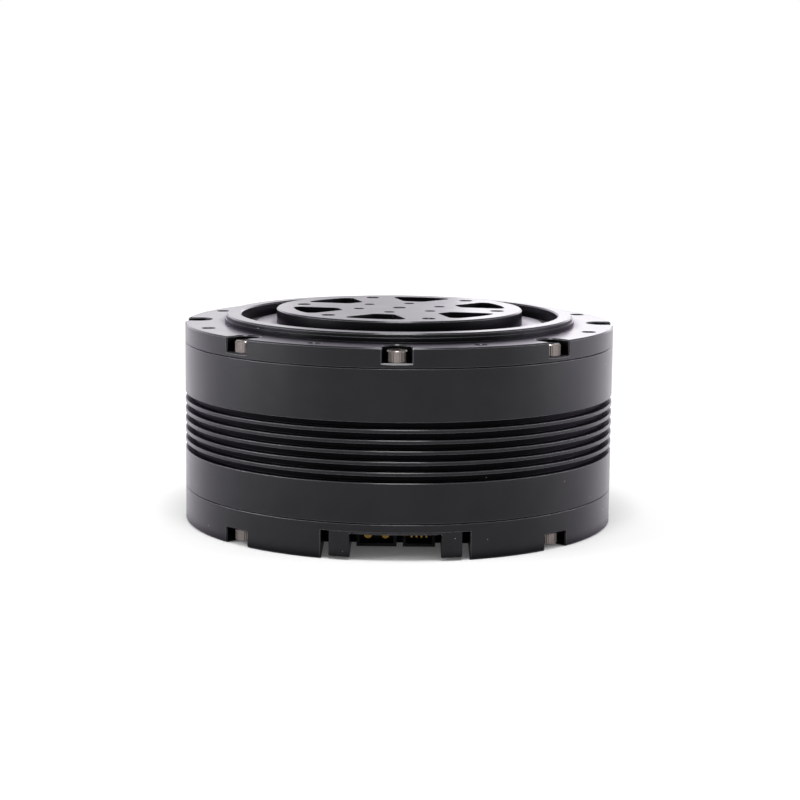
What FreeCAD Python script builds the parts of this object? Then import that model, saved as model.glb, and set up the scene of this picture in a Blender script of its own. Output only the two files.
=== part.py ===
import FreeCAD, Part
import os
from math import acos, asin, cos, pi, radians, sin, tan

# Robot joint actuator: a flat motor with a planetary gear stage nested inside its rotor.
# Millimetres. Z is the output axis. The origin is the centre of the rear face, the output
# flange points to +Z and the connector recess faces -Y. Angles are counted from +X.

# ---- fits between pieces ----
seat_fit = 0.05          # radial gap of a ring or core seated in a bore
thread_fit = 0.05        # radial gap of a screw in its tapped hole
running_fit = 0.05       # radial gap of a shaft turning in a bush
edge_break = 0.35        # chamfer on the outer edges of the castings
seam_break = 0.2         # chamfer on both sides of a joint line
fin_break = 0.15         # chamfer on the lips of the cooling fins
mouth_break = 0.3        # chamfer round the screw pockets and the connector recess

# ---- casing ----
body_d = 116.0           # outside diameter of housing and covers
rear_cover_h = 9.4       # rear cover, from the rear face to its joint line
housing_h = 39.0         # finned housing
front_rim_h = 5.15       # front cover rim above its joint line
casing_wall = 8.0        # housing wall between its bore and its outside
rear_wall = 9.0          # rear cover wall
rear_floor_t = 2.4       # rear cover floor
groove_count = 6         # cooling grooves round the housing
groove_pitch = 2.69
groove_w = 1.65
groove_depth = 2.2
groove_start = 10.37     # lowest groove above the rear joint line

# ---- front cover boss ----
collar_h = 2.25          # locating collar above the rim face
collar_over_bearing = 1.8  # collar outside, beyond the output bearing's outside
collar_lip = 2.1         # shoulder of the collar over the output bearing
collar_foot_h = 1.1      # wider foot of the collar
collar_foot_w = 0.5

# ---- casing screws, M3 socket cap ----
screw_r = 1.5
screw_head_r = 2.75
screw_head_h = 3.0
screw_key = 2.5          # width across the flats of the hexagon socket
screw_edge = 3.4         # screw axis in from the outside of the casing
screw_count = 8
front_screw_l = 10.0
rear_screw_l = 12.0
front_pocket_gap = 0.95  # room round a front screw head in its pocket, open outwards
front_screw_sink = 0.85  # front screw head below the rim face
rear_pocket_gap = 1.25
rear_screw_sink = 0.95
thread_spare = 1.0       # tapped hole beyond the end of its screw

# ---- mounting holes in the front cover, M4 tapped ----
mount_hole_r = 1.65
mount_edge = 4.0
mount_depth = 10.0

# ---- connector recess in the rear cover ----
window_w = 37.2
window_h = 7.3
window_reach = 22.0      # depth of the recess from the outside of the casing
post_w = 5.3
post_gap = 1.9           # slot between a post and the wall of the recess
post_lift = 0.8          # post foot above the rear face
bridge_t = 0.7           # bridge that joins the posts at the top of the recess
frame_setback = 0.05     # frame behind the outside of the casing
recess_depth = 12.0      # connector faces behind the outside of the casing
post_round = 0.5

# ---- connectors ----
power_w = 10.2
power_h = 4.8
signal_w = 8.2
signal_h = 4.0
connector_l = 9.5
connector_wall = 0.8
connector_cavity = 5.5
connector_gap = 1.6
connector_z = 1.2
pin_setback = 3.0        # contact tips behind the mouth of the connector
pin_root = 2.0           # contacts held in the back of the connector
power_pin_share = 0.28   # place of the first power contact across the width
power_pin_r = 1.0
signal_pin_w = 0.5
signal_pin_count = 4
signal_pin_pitch = 1.25

# ---- driver board ----
board_edge_gap = 2.5     # board to the wall of the rear cover
board_t = 1.6
board_gap = 2.5          # board above the floor of the rear cover
pad_t = 1.5              # thermal pad under the power transistors
pad_r0, pad_r1 = 22.0, 34.0
pad_gap_w = 18.0         # the pad is open towards the connectors
transistor_count = 12
transistor_w, transistor_l = 5.0, 6.0
transistor_sweep = 300.0
capacitor_count = 8
capacitor_w, capacitor_l, capacitor_h = 3.2, 5.0, 2.2
capacitor_gap = 0.95     # capacitors to the phase pins outside them
chip_w, chip_h = 7.0, 1.0
chip_r = 17.0
chip_angles = (30.0, 150.0, 270.0)
encoder_chip_w = 3.9
encoder_chip_h = 0.9
encoder_gap = 1.0
spacer_count = 4
spacer_edge = 4.0        # spacers in from the edge of the board
spacer_turn = 45.0
screw_hole_gap = 0.1     # clearance round a screw or pin in the board
spacer_od_r = 2.5
board_screw_r = 1.25
board_screw_head_r = 2.1
board_screw_head_h = 1.2
board_screw_key = 1.5
board_screw_grip = 2.0   # thread of a board screw in the bearing plate

# ---- rear bearing plate and rotor bearing, 20 x 32 x 7 ball bearing ----
plate_t = 2.5
plate_lip = 1.5          # width of the housing step that the plate seats on
plate_boss_t = 2.5
rotor_bearing_r0, rotor_bearing_r1 = 10.0, 16.0
rotor_bearing_w = 7.0
rotor_bearing_lift = 0.6
ring_t = 1.8             # radial thickness of each ring of the ball bearing
shoulder_t = 1.4         # shoulders behind the rings of the ball bearing
ball_r = 1.75
ball_count = 8
ball_play = 0.05
ball_cage_t = 0.8
ball_cage_w = 4.6

# ---- motor ----
stator_lip = 1.0         # width of the housing step that the stator seats on
rotor_gap = 1.0          # ring gear to back iron
stator_rear_gap = 5.7    # stator above the bearing plate
stator_front_gap = 4.8   # stator below the ring gear's flange
slot_count = 24
yoke_t = 4.0
tooth_w = 4.4
shoe_h = 1.1
shoe_taper = 0.7         # underside of a tooth tip, out to its neck
shoe_gap = 1.7           # slot opening between neighbouring tooth tips
coil_side_gap = 1.15     # gap between neighbouring coils, at the tooth tips
coil_round = 1.8
coil_liner = 0.2         # insulation between coil and tooth
coil_end_liner = 0.4
coil_radial_gap = 0.5
air_gap = 0.7
magnet_count = 20
magnet_t = 2.8
magnet_gap = 0.6         # gap between neighbouring magnets
back_iron_t = 2.5
web_t = 2.0              # disc of the rotor hub
web_lift = 0.6           # web above the bearing's end
phase_pin_r = 1.1
phase_pin_count = 3
phase_pin_turn = 0.0
phase_hole_gap = 0.6     # clearance round a phase pin in the bearing plate

# ---- planetary gears: fixed ring, planets on the output, sun on the rotor ----
gear_module = 1.0
pressure_angle = 25.0
sun_teeth = 12
planet_teeth = 21
planet_count = 3
addendum = 1.0           # in modules
dedendum = 1.25
ring_addendum = 0.8
tooth_thinning = 0.08    # taken off each gear's tooth thickness for backlash
ring_wall = 2.75
ring_flange_t = 2.0
ring_front_relief = 0.75
ring_end_play = 0.4
sun_shaft_r = 5.9
sun_nose_r = 3.6
sun_end_play = 0.5
pin_r = 3.0
bush_t = 1.0
washer_t = 0.5
washer_r = 5.5
side_play = 0.1
carrier_t = 4.0
carrier_gap = 1.0
carrier_rim = 2.5        # carrier plate beyond its pillars
carrier_bore_gap = 2.6   # carrier bore to sun shaft
pillar_r = 5.0
pillar_gap = 1.2         # pillar to the tips of the ring gear's teeth
pin_seat = 6.0           # planet pin in the output flange
carrier_screw_r = 2.0
carrier_screw_head_r = 3.5
carrier_screw_head_h = 2.8
carrier_screw_key = 3.0
carrier_screw_grip = 8.0
pilot_bush_t = 1.4
pilot_bush_l = 6.0
encoder_magnet_r = 3.0
encoder_magnet_t = 2.5
magnet_seat = 1.5

# ---- output bearing, 70 x 90 x 10 crossed roller ----
out_bearing_r0, out_bearing_r1 = 35.0, 45.0
out_bearing_w = 10.0
race_gap = 0.9           # gap between the inner and outer rings
roller_d = 5.0
roller_play = 0.05
roller_end_play = 0.12
roller_count = 24
cage_t = 0.4
cage_w = 8.4
cage_slack = 0.1         # room round a roller or ball in its cage

# ---- output flange ----
flange_base_t = 2.9      # base of the flange, in front of the output bearing
flange_base_w = 4.0      # base beyond the bearing's bore
flange_ledge = 5.7       # step between base and raised disc
flange_rise = 1.44       # flange face above the collar
flange_step = 2.5        # step of the flange below the top of the collar
flange_turn = 16.8       # angle of the first lightening pocket
boss_gap = 2.4           # boss to the ring gear's front relief
boss_reach = 4.6         # boss below the output bearing
pocket_count = 6
pocket_depth = 3.0
pocket_r1 = 28.7         # outer arc of a lightening pocket
pocket_r0 = 16.5         # inner flat of a lightening pocket
spoke_w = 11.8
pocket_round = 2.0
rim_hole_r = 1.65        # M4 tapped
rim_hole_circle_r = 27.0
rim_hole_depth = 8.0
hub_hole_r = 1.25        # M3 tapped
hub_hole_circle_r = 11.4
hub_hole_depth = 6.0
hole_sink = 0.35         # countersink of the tapped holes
centre_hole_r = 1.6
centre_hole_depth = 6.0

# ---- output seal ----
seal_drop = 0.9          # seal face below the step of the flange
seal_lip_gap = 0.08
seal_slope_w = 1.2       # the lip falls away towards the flange
seal_slope_h = 0.6

# ---- ring gear screws, M2.5 countersunk ----
ring_screw_count = 8
ring_screw_turn = 22.5
ring_screw_r = 1.25
ring_screw_l = 5.0
ring_screw_head_r = 2.3
ring_screw_head_h = 1.3

# ---- levels and radii that follow from the sizes above ----
V = FreeCAD.Vector
body_r = body_d / 2
z_rear_joint = rear_cover_h
z_front_joint = z_rear_joint + housing_h
z_rim = z_front_joint + front_rim_h
z_collar = z_rim + collar_h
z_flange = z_collar + flange_rise
z_step = z_collar - flange_step
z_out_bearing_top = z_step - flange_base_t
z_out_bearing = z_out_bearing_top - out_bearing_w
z_ring_flange = z_out_bearing - ring_flange_t
z_boss = z_out_bearing - boss_reach
housing_bore_r = body_r - casing_wall
rear_bore_r = body_r - rear_wall
screw_circle_r = body_r - screw_edge
mount_circle_r = body_r - mount_edge
z_plate = z_rear_joint
z_plate_top = z_plate + plate_t
z_rotor_bearing = z_plate + rotor_bearing_lift
z_rotor_bearing_top = z_rotor_bearing + rotor_bearing_w
z_web = z_rotor_bearing_top + web_lift
z_web_top = z_web + web_t
z_stator = z_plate_top + stator_rear_gap
z_stator_top = z_ring_flange - stator_front_gap
z_carrier = z_web_top + carrier_gap
z_carrier_top = z_carrier + carrier_t
z_planet = z_carrier_top + washer_t + side_play
z_planet_top = z_boss - washer_t - side_play
z_board = rear_floor_t + board_gap
z_board_top = z_board + board_t
z_encoder_chip_top = z_board_top + encoder_chip_h
z_encoder_magnet = z_encoder_chip_top + encoder_gap
z_shaft_end = z_encoder_magnet + encoder_magnet_t - magnet_seat
ring_teeth = sun_teeth + 2 * planet_teeth
gear_centres = gear_module * (sun_teeth + planet_teeth) / 2
ring_pitch_r = gear_module * ring_teeth / 2
ring_root_r = ring_pitch_r + dedendum * gear_module
ring_out_r = ring_root_r + ring_wall
ring_tip_r = ring_pitch_r - ring_addendum * gear_module
relief_r = ring_root_r + ring_front_relief
boss_r = relief_r - boss_gap
pillar_circle_r = ring_tip_r - pillar_gap - pillar_r
carrier_r = pillar_circle_r + pillar_r + carrier_rim
carrier_bore_r = sun_shaft_r + carrier_bore_gap
back_iron_in_r = ring_out_r + rotor_gap
magnet_in_r = back_iron_in_r + back_iron_t
magnet_out_r = magnet_in_r + magnet_t
stator_bore_r = magnet_out_r + air_gap
flange_base_r = out_bearing_r0 + flange_base_w
flange_r = flange_base_r - flange_ledge
collar_bore_r = out_bearing_r1 - collar_lip
collar_r = out_bearing_r1 + collar_over_bearing
front_pocket_w = 2 * (screw_head_r + front_pocket_gap)
front_pocket_depth = screw_head_h + front_screw_sink
rear_pocket_w = 2 * (screw_head_r + rear_pocket_gap)
rear_pocket_depth = screw_head_h + rear_screw_sink
roller_circle_r = (out_bearing_r0 + out_bearing_r1) / 2
ring_screw_circle_r = (out_bearing_r1 + housing_bore_r) / 2
coil_r0 = stator_bore_r + shoe_h + shoe_taper + coil_liner
coil_build = coil_r0 * tan(pi / slot_count) - coil_side_gap / 2 - tooth_w / 2 - coil_liner
phase_pin_circle_r = (stator_bore_r + shoe_h + housing_bore_r - yoke_t) / 2
board_r = rear_bore_r - board_edge_gap
spacer_r = board_r - spacer_edge
capacitor_r = phase_pin_circle_r - phase_pin_r - capacitor_gap - capacitor_l / 2
transistor_r = (pad_r0 + pad_r1) / 2
y_connector = -(body_r - recess_depth)
y_board_edge = y_connector + connector_l
front = -90.0


# ---- shapes ----
def turned(profile):
    """A turned solid: (radius, height) corners, each with an optional chamfer, about Z."""
    outline = []
    count = len(profile)
    for i, corner in enumerate(profile):
        here = V(corner[0], 0, corner[1])
        if len(corner) == 2:
            outline.append(here)
            continue
        for other in (profile[i - 1], profile[(i + 1) % count]):
            way = V(other[0], 0, other[1]) - here
            outline.append(here + way.normalize() * corner[2])
    face = Part.Face(Part.makePolygon(outline + outline[:1]))
    return face.revolve(V(0, 0, 0), V(0, 0, 1), 360)


def disc(radius, low, high):
    """A plain cylinder on the Z axis between two heights."""
    return Part.makeCylinder(radius, high - low, V(0, 0, low))


def tube(inner, outer, low, high):
    """A plain ring on the Z axis between two heights."""
    return disc(outer, low, high).cut(disc(inner, low - 1, high + 1))


def band(radius, thickness, middle, width):
    """A thin ring about its middle radius and middle height."""
    return tube(radius - thickness / 2, radius + thickness / 2, middle - width / 2, middle + width / 2)


def block(x0, x1, y0, y1, z0, z1):
    """A box between two corners."""
    return Part.makeBox(x1 - x0, y1 - y0, z1 - z0, V(x0, y0, z0))


def at(shape, radius, angle):
    """A copy of a shape moved out along +X and turned about Z."""
    copy = shape.copy()
    copy.translate(V(radius, 0, 0))
    copy.rotate(V(0, 0, 0), V(0, 0, 1), angle)
    return copy


def ring_of(shape, radius, count, start=0.0):
    """Evenly spaced copies of a shape on a circle."""
    return [at(shape, radius, start + 360.0 * i / count) for i in range(count)]


def save(name, shapes):
    """Write one node: a solid, or a group of like solids."""
    if not isinstance(shapes, list):
        shapes = [shapes]
    solids = [solid for shape in shapes for solid in shape.Solids]
    whole = solids[0] if len(solids) == 1 else Part.makeCompound(solids)
    whole.exportStep("parts/" + name + ".step")


def cap_screw(radius, length, head_r, head_h, key):
    """A socket cap screw pointing down, its head seated at height 0."""
    body = turned([(0, -length), (radius, -length, 0.3), (radius, 0), (head_r, 0),
                   (head_r, head_h, 0.3), (0, head_h)])
    socket_depth = head_h * 0.5
    corners = [V(key / 3 ** 0.5 * cos(radians(60 * i)), key / 3 ** 0.5 * sin(radians(60 * i)),
                 head_h - socket_depth) for i in range(7)]
    return body.cut(Part.Face(Part.makePolygon(corners)).extrude(V(0, 0, socket_depth + 1)))


def tapped(radius, depth):
    """Cutter of a tapped hole with its countersink, mouth at height 0."""
    return turned([(0, -depth), (radius, -depth), (radius, -hole_sink), (radius + hole_sink, 0),
                   (radius + hole_sink, 1), (0, 1)])


def flipped(shape):
    """The same shape pointing the other way along Z."""
    copy = shape.copy()
    copy.rotate(V(0, 0, 0), V(1, 0, 0), 180)
    return copy


def raised(shape, height):
    """A copy of a shape at another height."""
    copy = shape.copy()
    copy.translate(V(0, 0, height))
    return copy


# ---- gear teeth ----
def involute(angle):
    return tan(angle) - angle


def gear_outline(teeth, tip, root, thickening):
    """Closed wire of an involute gear with a tooth centred on +X."""
    pitch_r = gear_module * teeth / 2
    slope = radians(pressure_angle)
    base_r = pitch_r * cos(slope)
    half_pitch = pi / (2 * teeth) + thickening / (2 * pitch_r)

    def flank(radius, side, centre):
        reach = involute(acos(min(1.0, base_r / radius)))
        turn = centre + side * (half_pitch + involute(slope) - reach)
        return V(radius * cos(turn), radius * sin(turn), 0)

    def on_circle(radius, turn):
        return V(radius * cos(turn), radius * sin(turn), 0)

    edges = []
    middle = (max(root, base_r) + tip) / 2
    for i in range(teeth):
        centre = 2 * pi * i / teeth
        following = centre + 2 * pi / teeth
        rising = [flank(r, -1, centre) for r in (root, middle, tip)]
        falling = [flank(r, 1, centre) for r in (tip, middle, root)]
        next_root = flank(root, -1, following)
        edges.append(Part.Arc(*rising).toShape())
        edges.append(Part.Arc(rising[2], on_circle(tip, centre), falling[0]).toShape())
        edges.append(Part.Arc(*falling).toShape())
        edges.append(Part.Arc(falling[2], on_circle(root, (centre + following) / 2), next_root).toShape())
    return Part.Wire(edges)


def gear_blank(teeth, tip, root, thickening, low, high):
    """A toothed cylinder between two heights."""
    face = Part.Face(gear_outline(teeth, tip, root, thickening))
    face.translate(V(0, 0, low))
    return face.extrude(V(0, 0, high - low))


# ---- casing ----
def screw_angles(skip_front=False):
    """Angles of the casing screws; the connector recess takes the place of one at the rear."""
    angles = [front + 360.0 * i / screw_count for i in range(screw_count)]
    return angles[1:] if skip_front else angles


def mount_angles():
    """Mounting holes halfway between the casing screws."""
    return [front + 360.0 * (i + 0.5) / screw_count for i in range(screw_count)]


def flared(near, far):
    """A solid between two four-cornered outlines."""
    wires = [Part.makePolygon([V(*corner) for corner in outline + outline[:1]]) for outline in (near, far)]
    return Part.makeLoft(wires, True, True)


def head_pocket(width, floor, face):
    """A pocket for a screw head: round at the back, open outwards and chamfered at its mouth."""
    up = 1 if face > floor else -1
    half = width / 2
    wide = half + 2 * mouth_break
    outward = body_r - screw_circle_r + 1
    low, high = sorted((floor, face + up))
    pocket = disc(half, low, high).fuse(block(0, outward, -half, half, low, high))

    inner = face - up * mouth_break
    outer = face + up * mouth_break
    cone = Part.makeCone(half, wide, 2 * mouth_break, V(0, 0, inner), V(0, 0, up))
    slot = flared([(0, -half, inner), (outward, -half, inner), (outward, half, inner), (0, half, inner)],
                  [(0, -wide, outer), (outward, -wide, outer), (outward, wide, outer), (0, wide, outer)])

    edge = (body_r ** 2 - half ** 2) ** 0.5 - screw_circle_r
    inner = edge - mouth_break
    outer = edge + mouth_break
    below = floor - up * 2 * mouth_break
    above = face + up
    front_flare = flared([(inner, -half, floor), (inner, half, floor), (inner, half, above),
                          (inner, -half, above)],
                         [(outer, -wide, below), (outer, wide, below), (outer, wide, above),
                          (outer, -wide, above)])
    return pocket.fuse([cone, slot, front_flare])


def recess_chamfer():
    """Chamfers down both sides of the connector recess, at the outside of the casing."""
    half = window_w / 2
    near = V(half, mouth_break - (body_r ** 2 - half ** 2) ** 0.5, -1)
    side_x = half + mouth_break
    slope = V(side_x, -(body_r ** 2 - side_x ** 2) ** 0.5, -1) - near
    corners = [near, near + slope * 2, V(half, -body_r, -1)]
    jamb = Part.Face(Part.makePolygon(corners + corners[:1])).extrude(V(0, 0, window_h + 1))
    return [jamb, jamb.mirror(V(0, 0, 0), V(1, 0, 0))]


def make_rear_cover():
    cover = turned([(0, 0), (body_r, 0, edge_break), (body_r, z_rear_joint, seam_break),
                    (rear_bore_r, z_rear_joint), (rear_bore_r, rear_floor_t), (0, rear_floor_t)])
    cuts = []
    pocket = head_pocket(rear_pocket_w, rear_pocket_depth, 0)
    hole = disc(screw_r + thread_fit, 0, z_rear_joint + 1)
    for angle in screw_angles(skip_front=True):
        cuts.append(at(pocket, screw_circle_r, angle))
        cuts.append(at(hole, screw_circle_r, angle))
    cuts.append(block(-window_w / 2, window_w / 2, -body_r - 1, -body_r + window_reach, -1, window_h))
    cuts += recess_chamfer()
    return cover.cut(cuts)


def make_finned_housing():
    profile = [(body_r, z_rear_joint, seam_break)]
    for i in range(groove_count):
        low = z_rear_joint + groove_start + i * groove_pitch
        high = low + groove_w
        profile += [(body_r, low, fin_break), (body_r - groove_depth, low),
                    (body_r - groove_depth, high), (body_r, high, fin_break)]
    profile += [(body_r, z_front_joint, seam_break), (housing_bore_r, z_front_joint),
                (housing_bore_r, z_stator), (housing_bore_r - stator_lip, z_stator),
                (housing_bore_r - stator_lip, z_plate_top), (housing_bore_r + plate_lip, z_plate_top),
                (housing_bore_r + plate_lip, z_rear_joint)]
    housing = turned(profile)
    front_low = z_rim - front_pocket_depth - front_screw_l - thread_spare
    rear_high = rear_pocket_depth + rear_screw_l + thread_spare
    front_hole = disc(screw_r + thread_fit, front_low, z_front_joint + 1)
    rear_hole = disc(screw_r + thread_fit, z_rear_joint - 1, rear_high)
    mount_hole = raised(tapped(mount_hole_r, mount_depth), z_rim)
    cuts = [at(front_hole, screw_circle_r, angle) for angle in screw_angles()]
    cuts += [at(rear_hole, screw_circle_r, angle) for angle in screw_angles(skip_front=True)]
    cuts += [at(mount_hole, mount_circle_r, angle) for angle in mount_angles()]
    return housing.cut(cuts)


def make_front_cover():
    foot_r = collar_r + collar_foot_w
    spigot_r = housing_bore_r - seat_fit
    seat_r = out_bearing_r1 + seat_fit
    cover = turned([(body_r, z_front_joint, seam_break), (body_r, z_rim, edge_break), (foot_r, z_rim),
                    (foot_r, z_rim + collar_foot_h), (collar_r, z_rim + collar_foot_h),
                    (collar_r, z_collar, edge_break), (collar_bore_r, z_collar, edge_break),
                    (collar_bore_r, z_out_bearing_top), (seat_r, z_out_bearing_top),
                    (seat_r, z_out_bearing), (spigot_r, z_out_bearing), (spigot_r, z_front_joint)])
    pocket = head_pocket(front_pocket_w, z_rim - front_pocket_depth, z_rim)
    hole = disc(screw_r + thread_fit, z_front_joint - 1, z_rim)
    mount_hole = raised(tapped(mount_hole_r, mount_depth), z_rim)
    cuts = []
    for angle in screw_angles():
        cuts.append(at(pocket, screw_circle_r, angle))
        cuts.append(at(hole, screw_circle_r, angle))
    cuts += [at(mount_hole, mount_circle_r, angle) for angle in mount_angles()]
    cuts += ring_of(ring_screw_hole(z_out_bearing - 1, z_out_bearing + ring_screw_l), ring_screw_circle_r,
                    ring_screw_count, ring_screw_turn)
    return cover.cut(cuts)


def make_casing_screws():
    front_screw = cap_screw(screw_r, front_screw_l, screw_head_r, screw_head_h, screw_key)
    rear_screw = cap_screw(screw_r, rear_screw_l, screw_head_r, screw_head_h, screw_key)
    front_screw = raised(front_screw, z_rim - front_pocket_depth)
    rear_screw = raised(flipped(rear_screw), rear_pocket_depth)
    save("front_cover_screws", [at(front_screw, screw_circle_r, angle) for angle in screw_angles()])
    save("rear_cover_screws", [at(rear_screw, screw_circle_r, angle) for angle in screw_angles(True)])


# ---- ring gear, held to the front cover by countersunk screws ----
def ring_screw_hole(low, high):
    return disc(ring_screw_r + thread_fit, low, high)


def ring_screw_head(gap):
    """The cone of a countersunk head, its flat face down at the flange's rear face."""
    high = z_ring_flange + ring_screw_head_h
    return turned([(0, z_ring_flange), (ring_screw_head_r + gap, z_ring_flange), (ring_screw_r + gap, high),
                   (0, high)])


def make_ring_gear():
    flange_out_r = housing_bore_r - seat_fit
    low = z_planet - side_play
    relief_low = z_planet_top + side_play
    blank = turned([(ring_out_r, low), (ring_out_r, z_ring_flange), (flange_out_r, z_ring_flange),
                    (flange_out_r, z_out_bearing), (relief_r, z_out_bearing), (relief_r, relief_low),
                    (ring_tip_r, relief_low), (ring_tip_r, low)])
    space = gear_blank(ring_teeth, ring_root_r, ring_tip_r, tooth_thinning, low - 1, relief_low + 1)
    space.rotate(V(0, 0, 0), V(0, 0, 1), flange_turn)
    cuts = [space]
    cuts += ring_of(ring_screw_hole(z_ring_flange - 1, z_out_bearing + 1), ring_screw_circle_r,
                    ring_screw_count, ring_screw_turn)
    cuts += ring_of(ring_screw_head(thread_fit), ring_screw_circle_r, ring_screw_count, ring_screw_turn)
    return blank.cut(cuts)


def make_ring_gear_screws():
    shank = disc(ring_screw_r, z_ring_flange, z_out_bearing + ring_screw_l - thread_spare)
    screw = ring_screw_head(0).fuse(shank).removeSplitter()
    return ring_of(screw, ring_screw_circle_r, ring_screw_count, ring_screw_turn)


# ---- sun, planets and carrier ----
def make_sun_gear():
    tip = gear_module * (sun_teeth / 2 + addendum)
    root = gear_module * (sun_teeth / 2 - dedendum)
    low = z_carrier_top + side_play
    high = z_boss - sun_end_play
    teeth = gear_blank(sun_teeth, tip, root, -tooth_thinning, low, high)
    teeth.rotate(V(0, 0, 0), V(0, 0, 1), flange_turn)
    nose_high = z_boss + pilot_bush_l
    shaft = disc(sun_shaft_r, z_shaft_end, low).fuse(disc(sun_nose_r, high, nose_high))
    gear = shaft.fuse(teeth)
    return gear.cut(disc(encoder_magnet_r + seat_fit, z_shaft_end - 1, z_shaft_end + magnet_seat))


def make_planet(index):
    tip = gear_module * (planet_teeth / 2 + addendum)
    root = gear_module * (planet_teeth / 2 - dedendum)
    gear = gear_blank(planet_teeth, tip, root, -tooth_thinning, z_planet, z_planet_top)
    gear = gear.cut(disc(pin_r + bush_t + seat_fit, z_planet - 1, z_planet_top + 1))
    bush = tube(pin_r + running_fit, pin_r + bush_t, z_planet, z_planet_top)
    angle = flange_turn + 360.0 * index / planet_count
    save("planet_gear_%d" % (index + 1), at(gear, gear_centres, angle))
    save("planet_bush_%d" % (index + 1), at(bush, gear_centres, angle))


def make_carrier():
    """Rear plate with three pillars that reach forward between the planets."""
    plate = disc(carrier_r, z_carrier, z_carrier_top)
    pillar = disc(pillar_r, z_carrier_top, z_boss)
    half_turn = 180.0 / planet_count
    start = flange_turn + half_turn
    solid = plate.fuse(ring_of(pillar, pillar_circle_r, planet_count, start))
    screw_hole = disc(carrier_screw_r + thread_fit, z_carrier - 1, z_boss + 1)
    head_hole = disc(carrier_screw_head_r + seat_fit, z_carrier - 1, z_carrier + carrier_screw_head_h)
    pin_hole = disc(pin_r + seat_fit, z_carrier - 1, z_carrier_top + 1)
    cuts = [disc(carrier_bore_r, z_carrier - 1, z_carrier_top + 1)]
    cuts += ring_of(screw_hole, pillar_circle_r, planet_count, start)
    cuts += ring_of(head_hole, pillar_circle_r, planet_count, start)
    cuts += ring_of(pin_hole, gear_centres, planet_count, flange_turn)
    return solid.cut(cuts).removeSplitter()


def make_carrier_screws():
    seat = z_carrier + carrier_screw_head_h
    length = z_boss + carrier_screw_grip - seat
    screw = cap_screw(carrier_screw_r, length, carrier_screw_head_r, carrier_screw_head_h,
                      carrier_screw_key)
    screw = raised(flipped(screw), seat)
    return ring_of(screw, pillar_circle_r, planet_count, flange_turn + 180.0 / planet_count)


def make_planet_pins():
    pin = disc(pin_r, z_carrier, z_boss + pin_seat)
    return ring_of(pin, gear_centres, planet_count, flange_turn)


def make_planet_washers():
    rear = tube(pin_r + seat_fit, washer_r, z_carrier_top, z_carrier_top + washer_t)
    front_washer = tube(pin_r + seat_fit, washer_r, z_boss - washer_t, z_boss)
    return (ring_of(rear, gear_centres, planet_count, flange_turn)
            + ring_of(front_washer, gear_centres, planet_count, flange_turn))


# ---- output flange ----
def pocket_outline():
    """Rounded outline of one lightening pocket, centred on +X between two straight spokes."""
    slope = radians(180.0 / pocket_count)
    half_spoke = spoke_w / 2
    turn = slope - asin(half_spoke / pocket_r1)
    outer_y = pocket_r1 * sin(turn)
    inner_y = pocket_r0 * tan(slope) - half_spoke / cos(slope)
    inner = [V(pocket_r0, side * inner_y, 0) for side in (-1, 1)]
    outer = [V(pocket_r1 * cos(turn), side * outer_y, 0) for side in (-1, 1)]
    edges = [Part.makeLine(inner[0], inner[1]), Part.makeLine(inner[1], outer[1]),
             Part.Arc(outer[1], V(pocket_r1, 0, 0), outer[0]).toShape(), Part.makeLine(outer[0], inner[0])]
    return Part.Wire(edges)


def make_pocket():
    pocket = Part.Face(pocket_outline()).extrude(V(0, 0, pocket_depth + 1))
    upright = [edge for edge in pocket.Edges if edge.BoundBox.ZLength > pocket_depth]
    return pocket.makeFillet(pocket_round, upright)


def make_output_flange():
    half_turn = 180.0 / pocket_count
    journal_r = out_bearing_r0 - seat_fit
    flange = turned([(0, z_boss), (boss_r, z_boss), (boss_r, z_out_bearing), (journal_r, z_out_bearing),
                     (journal_r, z_out_bearing_top), (flange_base_r, z_out_bearing_top),
                     (flange_base_r, z_step, seam_break), (flange_r, z_step),
                     (flange_r, z_flange, edge_break), (0, z_flange)])
    pocket = raised(make_pocket(), z_flange - pocket_depth)
    rim_hole = raised(tapped(rim_hole_r, rim_hole_depth), z_flange)
    hub_hole = raised(tapped(hub_hole_r, hub_hole_depth), z_flange)
    centre_hole = raised(tapped(centre_hole_r, centre_hole_depth), z_flange)
    pin_hole = disc(pin_r + seat_fit, z_boss - 1, z_boss + pin_seat)
    screw_hole = disc(carrier_screw_r + thread_fit, z_boss - 1, z_boss + carrier_screw_grip + thread_spare)
    bush_hole = disc(sun_nose_r + running_fit + pilot_bush_t + seat_fit, z_boss - 1, z_boss + pilot_bush_l)
    cuts = [centre_hole, bush_hole]
    cuts += ring_of(pocket, 0, pocket_count, flange_turn)
    cuts += ring_of(rim_hole, rim_hole_circle_r, pocket_count, flange_turn + half_turn)
    cuts += ring_of(hub_hole, hub_hole_circle_r, pocket_count, flange_turn)
    cuts += ring_of(pin_hole, gear_centres, planet_count, flange_turn)
    cuts += ring_of(screw_hole, pillar_circle_r, planet_count, flange_turn + 180.0 / planet_count)
    return flange.cut(cuts)


def make_pilot_bush():
    inner = sun_nose_r + running_fit
    return tube(inner, inner + pilot_bush_t, z_boss, z_boss + pilot_bush_l)


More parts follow.
